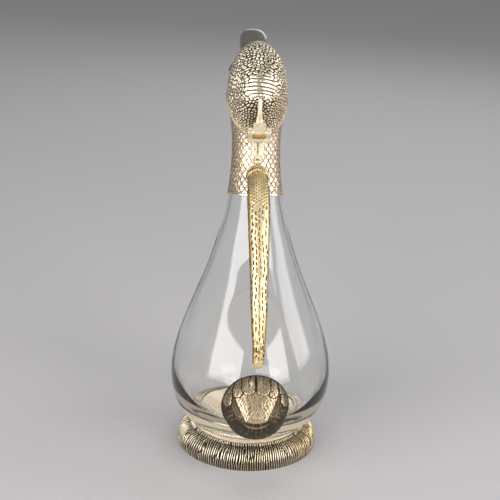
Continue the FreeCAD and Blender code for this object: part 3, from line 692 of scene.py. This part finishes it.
def ring_mesh():
    nu = 1700
    nv = 110
    t = np.concatenate([[0], np.cumsum(np.hypot(*np.diff(RP, axis=0).T))])
    # the visible stretch gets most of the rows
    tv = t[14]
    q_ = np.concatenate([np.linspace(0, tv, nv), np.linspace(tv, t[-1], 8)[1:]])
    pr = np.interp(q_, t, RP[:, 0]); pz = np.interp(q_, t, RP[:, 1])
    k = np.ones(5) / 5
    for _ in range(2):
        pr[2:-2] = np.convolve(pr, k, "valid"); pz[2:-2] = np.convolve(pz, k, "valid")
    tr, tz = np.gradient(pr), np.gradient(pz)
    ln = np.hypot(tr, tz); nr_, nz_ = tz / ln, -tr / ln
    sgn = np.sign(nr_[nv // 4]) or 1
    nr_, nz_ = nr_ * sgn, nz_ * sgn
    a = np.linspace(0, 2 * math.pi, nu, endpoint=False)
    A, Q = np.meshgrid(a, q_)
    P = np.meshgrid(a, np.arange(len(q_)))[1]
    R_, Z_ = pr[P], pz[P]
    cx, cy = np.cos(A) * 9, np.sin(A) * 9
    wv = 2.6 * vnoise(cx * 0.9, cy * 0.9, Q / 9, 51) + 0.9 * vnoise(cx * 3, cy * 3, Q / 5, 52)
    swing = 13.0 * np.sin(2 * A)
    w1 = A * 150 - swing + wv + 0.20 * Q
    w2 = A * 161 - swing - wv * 0.8 + 1.7 - 0.16 * Q
    w3 = A * 140 - swing + wv * 1.2 + 0.4 + 0.05 * Q
    m1 = smooth(-0.12, 0.12, vnoise(cx * 0.55, cy * 0.55, Q / 14, 53))
    m2 = smooth(0.12, 0.35, vnoise(cx * 0.8 + 40, cy * 0.8, Q / 11, 54))
    c1 = np.cos(w1) * (1 - m1) + np.cos(w2) * m1
    c1 = c1 * (1 - m2) + np.cos(w3) * m2
    rib = smooth(-0.16, 0.62, c1)
    # worn flats on the shoulder, dark gaps on the upright side
    wear = smooth(0.15, 0.6, vnoise(cx * 1.3, cy * 1.3, Q / 6, 55))
    z_ = pz[P]; r_ = pr[P]
    side = smooth(10.0, 3.0, z_) * (r_ > 48)
    sh = np.exp(-((r_ - 46.6) / 2.2) ** 2)
    val = np.exp(-((r_ - 43.1) / 1.0) ** 2)
    lip = smooth(42.4, 41.4, r_)
    depth = 0.95 + 0.20 * side + 0.20 * lip - 0.15 * sh * wear
    vis = smooth(0.0, 1.0, Q) * (1 - smooth(t[13], t[14], Q))
    # lip beads: gathered between rings of the same ribs
    disp = -depth * (1 - rib) * vis - 0.05 * (0.5 + 0.5 * vnoise(cx * 6, cy * 6, Q / 2.2, 57)) * vis
    notch = smooth(0.50, 0.80, vnoise(cx * 12, cy * 12, Q / 2.4, 58)) * (1 - lip)
    disp = disp - 0.18 * notch * vis * rib - 0.30 * val * vis
    rel = rib * (1 - 0.30 * notch) * (0.88 + 0.12 * wear) - 0.42 * val * (1 - 0.4 * rib) - 0.06 * side
    rel = np.clip(rel, 0, 1) * vis + 0.35 * (1 - vis)
    rel = np.where(Q > t[13], 0.12, rel)
    R2 = R_ + disp * nr_[P]; Z2 = np.maximum(Z_ + disp * nz_[P], 0.0)
    v = np.stack([R2 * np.cos(A), R2 * np.sin(A), Z2], -1).reshape(-1, 3)
    rel = rel.ravel()
    nvv = len(q_)
    back = []
    for r0, z0 in RI:
        back.append(np.stack([r0 * np.cos(a), r0 * np.sin(a), np.full(nu, z0)], 1))
    v = np.concatenate([v] + back)
    rel = np.concatenate([rel, np.full(nu * len(RI), 0.1)])
    f = grid(nu, nvv + len(RI), True, True)
    return make("foot_ring", v, f, relief=rel)


ring_ob = ring_mesh()
put(ring_ob, M_RING, "jug", ["base_ring"])
plate = node_copy("base_plate", "foot_plate", sharp=30)
put(plate, M_PLATE, "jug", ["base_plate"])


# ---------------------------------------------------------------- handle
HS = np.array([(-80.2, 95, 2.2, 1.6), (-80.1, 95.5, 3.2, 2.6), (-80, 96.5, 3.7, 3.2), (-79.8, 98.5, 3.9, 3.6), (-78.2, 106.5, 4.3, 3.9),
               (-73.6, 119.5, 5, 4.2), (-66, 135.5, 5.9, 4.6), (-57, 151.5, 6.3, 4.9), (-47.5, 166.8, 6.9, 5.2), (-38, 181, 7.5, 5.5),
               (-29, 192.4, 7.9, 5.8), (-21.4, 200.2, 7.8, 5.8), (-13.6, 205, 7.3, 5.9), (-4.6, 207.4, 6.9, 6), (6, 208.6, 6.8, 6.1)], float)


def handle_mesh():
    nu = 220
    nv = 900
    t = np.concatenate([[0], np.cumsum(np.hypot(np.diff(HS[:, 0]), np.diff(HS[:, 1])))])
    q_ = np.concatenate([np.linspace(0, 3.5, nv // 12, endpoint=False), np.linspace(3.5, t[-1], nv - nv // 12)])
    y, z = spline(t, HS[:, 0], q_), spline(t, HS[:, 1], q_)
    w, th = np.interp(q_, t, HS[:, 2]), np.interp(q_, t, HS[:, 3])
    big = q_ > 3.5
    w[big], th[big] = spline(t, HS[:, 2], q_[big]), spline(t, HS[:, 3], q_[big])
    ty, tz = np.gradient(y, q_), np.gradient(z, q_)
    ln = np.hypot(ty, tz); ty, tz = ty / ln, tz / ln
    ty[:nv // 12], tz[:nv // 12] = ty[nv // 12 + 2], tz[nv // 12 + 2]
    a = np.linspace(0, 2 * math.pi, nu, endpoint=False)
    A, I = np.meshgrid(a, np.arange(len(q_)))
    Q = q_[I]
    ca, sa = np.cos(A), np.sin(A)
    e = 0.92
    ca_, sa_ = np.sign(ca) * np.abs(ca) ** e, np.sign(sa) * np.abs(sa) ** e
    # outward (away from the flask) is +n: n = (-tz, ty) turned so that y goes back
    ny, nz = -tz, ty
    flip = np.sign(-ny[len(q_) // 2])
    ny, nz = ny * flip, nz * flip
    X = w[I] * ca; Nn = th[I] * sa
    base = np.stack([X, y[I] + Nn * ny[I], z[I] + Nn * nz[I]], -1)
    # surface normal of an ellipse section
    gx, gn = ca / w[I], sa / th[I]
    gl = np.hypot(gx, gn); gx, gn = gx / gl, gn / gl
    s_top = Q / t[-1]
    arc = X                                                # distance across the face
    outf = smooth(-0.25, 0.35, sa)
    # little nicks in staggered rows that run with the handle
    row = Q / 4.4
    lane_w = 2.5
    lane = (arc + 0.75 * vnoise(Q / 6.5, 0, 0, 60) + 0.35 * vnoise(arc / 2.0, Q / 4.0, 0, 59)) / lane_w
    ln_i = np.round(lane)
    ph = row + 0.37 * ln_i + 0.30 * (_hash(ln_i.astype(np.int64) + 50, np.floor(row).astype(np.int64), np.zeros_like(ln_i, np.int64), 61) - 0.5)
    dl = (lane - ln_i) * lane_w
    jl = 0.5 * (_hash(ln_i.astype(np.int64) + 50, np.floor(ph).astype(np.int64), np.zeros_like(ln_i, np.int64), 62) - 0.5)
    dq = (ph - np.floor(ph) - 0.5) * 4.4
    keepn = _hash(ln_i.astype(np.int64) + 50, np.floor(ph).astype(np.int64), np.zeros_like(ln_i, np.int64), 63) > 0.10
    nick = np.exp(-(((dl - jl * 0.9 + 0.10 * dq * (jl * 4)) / 0.40) ** 2) ** 1.3) * (1 - smooth(1.0, 1.75, np.abs(dq))) * keepn
    # denser dots on the top bend
    d_r = Q / 2.3; d_l = arc / 1.8
    d_i = np.round(d_l)
    d_p = d_r + 0.5 * np.mod(d_i, 2)
    dot = np.exp(-(((d_l - d_i) * 1.8 / 0.38) ** 2)) * np.exp(-((((d_p - np.floor(d_p)) - 0.5) * 2.3) / 0.62) ** 2)
    top = smooth(t[10] - 4, t[10] + 4, Q)
    low = 1 - smooth(16, 26, Q)
    squig = smooth(0.25, 0.6, np.abs(vnoise(arc / 0.9, Q / 1.5, 0, 65))) * smooth(4, 7, Q)
    hole = nick * (1 - top) * (1 - 0.4 * low) + dot * top * 0.9 + 0.55 * squig * low * (1 - top)
    hole = hole * outf * smooth(3.6, 5.5, Q) * (1 - smooth(0.78, 0.97, np.abs(ca)))
    hole = np.clip(hole, 0, 1)
    dent = 0.12 * (0.5 + 0.5 * vnoise(arc / 2.6, Q / 3.4, sa * 2, 66))
    disp = -0.55 * hole - dent
    base = base + disp[..., None] * np.stack([gx, gn * ny[I], gn * nz[I]], -1)
    # painted shade: the face toward the flask and the two side edges are darkened in colour
    rel = 0.84 - 0.84 * hole - 0.30 * (1 - outf) + 0.10 * vnoise(arc / 1.4, Q / 2.2, 0, 67) - 0.42 * smooth(0.72, 0.97, np.abs(ca))
    rel = np.where(Q < 3.4, 0.95, rel)
    v = base.reshape(-1, 3)
    n = len(v)
    v = np.concatenate([v, [[0, y[0], z[0]], [0, y[-1], z[-1]]]])
    rel = np.concatenate([np.clip(rel, 0, 1).ravel(), [0.9, 0.5]])
    f = grid(nu, len(q_), True, False)
    L_ = (len(q_) - 1) * nu
    for i in range(nu):
        j = (i + 1) % nu
        f.append((n, j, i)); f.append((n + 1, L_ + i, L_ + j))
    return make("scroll_handle", v, f, relief=rel)


handle = handle_mesh()
put(handle, M_HANDLE, "jug", ["handle"])


# -------------------------------------------------- pieces with tooled faces
def plume(X, Y, p0, p1, w0, w1, end):
    """inside distance and along / across position for one rounded feather"""
    ax, ay = p1[0] - p0[0], p1[1] - p0[1]
    ln = math.hypot(ax, ay); ax, ay = ax / ln, ay / ln
    u = (X - p0[0]) * ax + (Y - p0[1]) * ay
    v = (X - p0[0]) * -ay + (Y - p0[1]) * ax
    hw = w0 + (w1 - w0) * np.clip(u / ln, 0, 1)
    over = np.clip((u - ln) / end, 0, None)
    dd = hw * np.sqrt(np.clip(1 - over ** 2, 0, 1)) - np.abs(v)
    dd = np.where(over >= 1, -np.hypot(v, u - ln - end), dd)
    dd = np.minimum(dd, np.where(u > ln, (1 - np.hypot(over, v / hw)) * min(end, w1), dd))
    return dd, u, v, hw


TAILF = [((248.7, 366), (248.6, 389.5), 6.6, 6.7, 5.6, 1.00, 1), ((263.3, 366), (263.8, 390.5), 6.7, 7.0, 5.6, 1.00, 1),
         ((245, 370), (237.6, 391), 5.0, 5.4, 7.0, 0.90, 1), ((268, 370), (273.6, 391), 5.2, 5.6, 7.5, 0.90, 1),
         ((240, 372), (229.5, 388), 4.6, 5.4, 6.0, 0.80, 1), ((275, 372), (282.6, 388), 4.6, 5.4, 6.5, 0.80, 1),
         ((228, 384), (226.5, 401), 4.6, 4.6, 6.0, 0.70, 1), ((285.5, 384), (286.0, 401), 4.6, 4.6, 6.0, 0.70, 1)]


def tail_pattern(X, Y):
    n = len(X)
    TX = X + 1.5 * vnoise(X / 5.5, Y / 5.5, 0, 301) + 0.6 * vnoise(X / 2.2, Y / 2.6, 0, 302)
    TY = Y + 1.5 * vnoise(X / 5.5, Y / 5.5, 0, 303) + 0.6 * vnoise(X / 2.2, Y / 2.6, 0, 304)
    h = np.full(n, 0.22); rel = np.full(n, 0.16); done = np.zeros(n, bool); shade = np.ones(n)
    # painted shade: the underside below the feathers keeps a low, dark tone, with soft radial stripes
    und = 0.5 + 0.5 * np.cos(2 * math.pi * (np.degrees(np.arctan2(X - 256.5, Y - 404)) / 9.5 + 0.3 * vnoise(X / 5, Y / 5, 0, 81)))
    rel = 0.24 + 0.14 * smooth(0.3, 0.8, und) * (0.5 + 0.5 * vnoise(X / 3.0, Y / 3.0, 0, 305)) + 0.08 * vnoise(TX / 2.2, TY / 4.5, 0, 306)
    h = h + 0.03 * smooth(0.2, 0.8, und)
    # side plates, then the wedge, then the feathers over them
    for sgn, p0, p1 in ((-1, (233.5, 398), (238.2, 411)), (1, (279.5, 398), (274.6, 411))):
        dd, u, v, hw = plume(X, Y, p0, p1, 6.2, 5.6, 7.0)
        ins = dd > 0
        h = np.where(ins, 0.40 + 0.05 * smooth(0, 2.0, dd), h)
        lines = smooth(0.55, 0.9, 0.5 + 0.5 * np.cos(2 * math.pi * (v / 2.6 + 0.2 * vnoise(X / 3, Y / 3, 0, 82))))
        rel = np.where(ins, 0.34 - 0.12 * lines + 0.12 * (smooth(0.2, 0.7, dd) - smooth(0.7, 1.5, dd)) - 0.3 * (1 - smooth(0, 0.45, dd)), rel)
    ty = np.clip((Y - 396.0) / 25.0, 0, 1)
    xl = 233.6 + (244.6 - 233.6) * ty ** 1.08; xr = 279.2 + (267.8 - 279.2) * ty ** 1.08
    mid = 0.5 * (xl + xr); half = 0.5 * (xr - xl)
    bot = 424.6 - 2.6 * ((X - 256.2) / 12.0) ** 2
    dw = np.minimum(np.minimum(X - xl, xr - X), bot - Y)
    ins = (dw > 0) & (Y > 386)
    hb = np.abs(X - mid) * 0.9
    herr = 0.5 + 0.5 * np.cos(2 * math.pi * ((TY * 0.55 - 1.0 * np.abs(TX - mid)) / 3.1 + 0.25 * vnoise(X / 3.5, Y / 5, 0, 83)))
    strand = 0.5 + 0.5 * np.cos(2 * math.pi * ((TX - mid) / half * 4.2 + 0.45 * vnoise(X / 3, Y / 6, 0, 84)))
    tex = smooth(0.22, 0.62, 0.60 * herr + 0.40 * strand)
    # painted highlight: the slightly raised lip at the wedge tip gets the full crest tone
    lip_ = smooth(419.5, 423.0, Y)
    hW = 0.60 + 0.22 * ty + 0.10 * tex * (1 - lip_) + 0.06 * lip_
    rW = (0.40 + 0.46 * tex) * (1 - lip_) + 1.0 * lip_
    rW = rW * smooth(0.0, 0.7, dw)
    h = np.where(ins, hW - 0.25 * (1 - smooth(0, 0.9, dw)), h)
    rel = np.where(ins, rW, rel)
    # a raised line under the wedge tip
    arc_ = np.hypot(X - 256.0, (Y - 411.0) * 1.05)
    ln_ = np.exp(-((arc_ - 19.6) / 0.7) ** 2) * (Y > 424.5) * smooth(14, 9, np.abs(X - 256))
    rel = np.clip(rel + 0.5 * ln_ * ~ins, 0, 1); h = h + 0.08 * ln_ * ~ins
    for p0, p1, w0, w1, end, lev, _k in TAILF[::-1]:
        dd, u, v, hw = plume(X, Y, p0, p1, w0, w1, end)
        ins = dd > 0
        out_d = np.clip(-dd, 0, 5)
        # just outside each feather the colour darkens: dark patina in the step under its edge, plus a painted shadow of
        # the feather
        near = ~ins & (out_d < 1.3)
        rel = np.where(near, rel * smooth(0.1, 1.3, out_d), rel)
        barb = 0.5 + 0.5 * np.cos(2 * math.pi * ((u + (TY - Y) - 1.7 * np.abs(v + (TX - X) * 0.7)) / 3.9 + 0.25 * vnoise(X / 3, Y / 4, 0, 85 + int(lev * 10))))
        strand = 0.5 + 0.5 * np.cos(2 * math.pi * ((v + (TX - X)) / 2.6 + 0.35 * vnoise(X / 3, Y / 7, 0, 86)))
        tex = smooth(0.20, 0.62, 0.5 * barb + 0.5 * strand)
        shaft = np.exp(-(v / 0.55) ** 2)
        tip = smooth(-2.8, -0.2, u - (math.hypot(p1[0] - p0[0], p1[1] - p0[1]) + end))
        tone = 0.72 if lev > 0.85 else 0.56
        r_ = (0.32 + (tone - 0.06) * tex) * (1 - 0.45 * shaft) + 0.35 * tip * smooth(0.4, 1.1, dd)
        r_ = r_ * smooth(0.0, 0.8, dd)
        h = np.where(ins, lev + 0.09 * tex - 0.10 * shaft - 0.28 * (1 - smooth(0, 1.1, dd)), h)
        rel = np.where(ins, np.clip(r_, 0, 1), rel)
    return np.clip(h, 0, 1.05), np.clip(rel, 0, 1)


tail = node_copy("tail_cap", "tail_feathers", 0.3, 3)
p = coords(tail)
nrm = vert_normals(tail)
gf = glass_f(p)
outer = (gf > 0.9) & ((nrm @ BASIS[2]) > -0.35)
X_, Y_ = face_xy(p)
h_t, rel_t = tail_pattern(X_, Y_)
fade = smooth(0.9, 2.2, gf) * smooth(-0.35, 0.0, nrm @ BASIS[2])
# painted shade: faces turning away from the camera are darkened in colour
painted_edge_shade = smooth(0.05, 0.5, nrm @ BASIS[2])
disp = -1.30 * (1.05 - h_t) * fade
p = p + nrm * (disp * outer)[:, None]
set_coords(tail, p)
set_relief(tail, np.where(outer, rel_t * (0.35 + 0.65 * painted_edge_shade) * fade + 0.2 * (1 - fade), 0.2))
put(tail, M_TAIL, "jug", ["tail_cap"])

# socket: an arched cuff with a scalloped edge where the handle meets the neck
sock = node_copy("handle_socket", "handle_cuff", 0.25, 2)
p = coords(sock); nrm = vert_normals(sock)
X_, Y_ = face_xy(p)
facing = nrm @ BASIS[2]
ang = np.arctan2(X_ - 257.0, 178.0 - Y_)
rad_ = np.hypot(X_ - 257.0, (Y_ - 178.0))
dash = smooth(0.55, 0.85, 0.5 + 0.5 * np.cos(2 * math.pi * ((X_ - 257.0 + 0.35 * (Y_ - 172)) / 2.5))) * smooth(5.3, 6.2, 178 - Y_) * (1 - smooth(8.2, 9.3, 178 - Y_)) * smooth(8.4, 6.8, np.abs(X_ - 257))
rimd = smooth(9.6, 10.2, rad_) * (1 - smooth(10.6, 11.4, rad_)) * 0.5
cutd = np.clip(dash + rimd, 0, 1) * smooth(0.0, 0.3, facing)
scal = 0.5 + 0.5 * np.cos(ang * 14)
p = p + nrm * (-(0.55 * cutd + 0.15 * (1 - scal) * smooth(10.5, 12, rad_)))[:, None]
set_coords(sock, p)
# painted shade: faces turned away from the camera are darkened in colour, besides the chased dashes and rim
set_relief(sock, np.clip(0.92 - 0.9 * cutd + 0.1 * vnoise(X_ / 1.5, Y_ / 1.5, 0, 91) - 0.5 * (1 - smooth(-0.3, 0.25, facing)), 0, 1))
put(sock, M_HANDLE, "jug", ["handle_socket"])

# neck lip, bead, bills, hinge, eyes
lip = node_copy("neck_lip", "neck_lip_band", 0.3, 3)
put(lip, M_LIP, "jug", ["neck_lip"])
bead = node_copy("neck_bead", "neck_bead_ring", sharp=40)
put(bead, M_BEAD, "jug", ["neck_bead"])
for nm, new, body in (("lower_bill", "bill_lower", "jug"), ("upper_bill", "bill_upper", "lid")):
    put(node_copy(nm, new, sharp=38), M_BILL, body, [nm])
for nm, new, body in (("hinge_strap", "hinge_leaf_neck", "jug"), ("hinge_tongue", "hinge_leaf_lid", "lid")):
    ob = node_copy(nm, new, 0.2, 2)
    p = coords(ob); nrm = vert_normals(ob)
    X_, Y_ = face_xy(p)
    rel = 0.82 + 0.14 * vnoise(p[:, 0] / 1.7, p[:, 1] / 1.7, p[:, 2] / 1.7, 95)
    if nm == "hinge_strap":
        lo_ = 1 - smooth(231.0, 233.5, p[:, 2])
        dd_ = p - NECK0
        s_, th_ = dd_ @ AX, np.arctan2(dd_[:, 0], -(dd_ @ FW))
        hh, _g = scales(s_, th_)
        facing = smooth(0.2, 0.6, nrm @ BASIS[2])
        mark = (1 - hh) * lo_ * facing * 0.75
        split = np.exp(-((p[:, 0] + 0.15 * vnoise(p[:, 2] / 2, 0, 0, 96)) / 0.42) ** 4) * smooth(220.5, 222.0, p[:, 2]) * (1 - smooth(231, 232.5, p[:, 2])) * facing
        edge_ = smooth(4.2, 4.75, np.abs(p[:, 0])) * lo_ * facing * 0.6
        p = p - nrm * (0.42 * mark + 0.35 * split)[:, None]
        rel = rel - 0.85 * mark - 0.9 * split - edge_
        set_coords(ob, p)
    else:
        ridge = np.exp(-(p[:, 0] / 0.9) ** 2) * (p[:, 2] > 247)
        rel = rel + 0.15 * ridge - 0.20 * smooth(1.2, 2.6, np.abs(p[:, 0])) * (p[:, 2] > 247.5)
        rel = rel - 0.40 * (1 - smooth(238.2, 239.6, p[:, 2]))
    set_relief(ob, np.clip(rel, 0, 1))
    put(ob, M_BRIGHT if nm == "hinge_strap" else M_TONGUE, body, [nm])
put(node_copy("hinge_pin", "hinge_axle", sharp=30), M_PIN, "jug", ["hinge_pin"])
rivet = node_copy("strap_rivet", "rivet_head", sharp=50)
set_relief(rivet, np.full(len(rivet.data.vertices), 0.8))
put(rivet, M_BRIGHT, "jug", ["strap_rivet"])
for nm in ("left_eye", "right_eye"):
    put(node_copy(nm, nm + "_bead", sharp=50), M_EYE, "lid", [nm])


# ---------------------------------------------------------------- stage
def floor_mat():
    mt, nt, bs = new_mat("floor")
    bs.inputs["Base Color"].default_value = (0.60, 0.60, 0.61, 1)
    bs.inputs["Roughness"].default_value = 0.9
    return mt


fm = bpy.data.meshes.new("floor")
fm.from_pydata([(-8, -4, 0), (8, -4, 0), (8, 12, 0), (-8, 12, 0)], [], [(0, 1, 2, 3)])
floor = bpy.data.objects.new("floor", fm)
bpy.context.scene.collection.objects.link(floor)
fm.materials.append(floor_mat())


def area(name, loc, target, sx, sy, power, col=(1, 1, 1)):
    ld = bpy.data.lights.new(name, "AREA")
    ld.shape = "RECTANGLE"; ld.size = sx; ld.size_y = sy; ld.energy = power; ld.color = col
    ob = bpy.data.objects.new(name, ld)
    bpy.context.scene.collection.objects.link(ob)
    ob.location = loc
    ob.rotation_euler = (Vector(target) - Vector(loc)).to_track_quat("-Z", "Y").to_euler()
    return ob


area("window_left", (-1.10, -1.10, 0.68), (0, 0, 0.20), 1.45, 1.12, 23.0, (1.0, 0.955, 0.935))
area("window_right", (1.00, -1.20, 0.66), (0, 0, 0.20), 0.85, 1.08, 13.5, (1.0, 0.955, 0.935))
area("window_side", (1.55, -0.15, 0.70), (0, 0, 0.20), 0.80, 0.95, 7.0, (1.0, 0.955, 0.935))
area("overhead", (0.0, -0.25, 1.75), (0, 0, 0.15), 0.8, 0.5, 3.5, (1.0, 0.98, 0.95))
area("back_fill", (0.35, 1.3, 0.9), (0, 0, 0.16), 1.0, 0.5, 3.0, (0.95, 0.97, 1.0))

world = bpy.data.worlds.new("world")
bpy.context.scene.world = world
world.use_nodes = True
wn = world.node_tree
bg = wn.nodes["Background"]
wtc = node(wn, "ShaderNodeTexCoord")
wsx = node(wn, "ShaderNodeSeparateXYZ")
wn.links.new(wtc.outputs["Generated"], wsx.inputs[0])
wr_ = ramp(wn, [(0.0, (0.44, 0.43, 0.42)), (0.22, (0.34, 0.34, 0.34)), (0.55, (0.215, 0.213, 0.213)), (1.0, (0.215, 0.213, 0.213))])
wn.links.new(wsx.outputs["Z"], wr_.inputs["Fac"])
wn.links.new(wr_.outputs["Color"], bg.inputs["Color"])
bg.inputs["Strength"].default_value = 1.0

bpy.context.scene.view_settings.view_transform = "Standard"
bpy.context.scene.view_settings.look = "None"
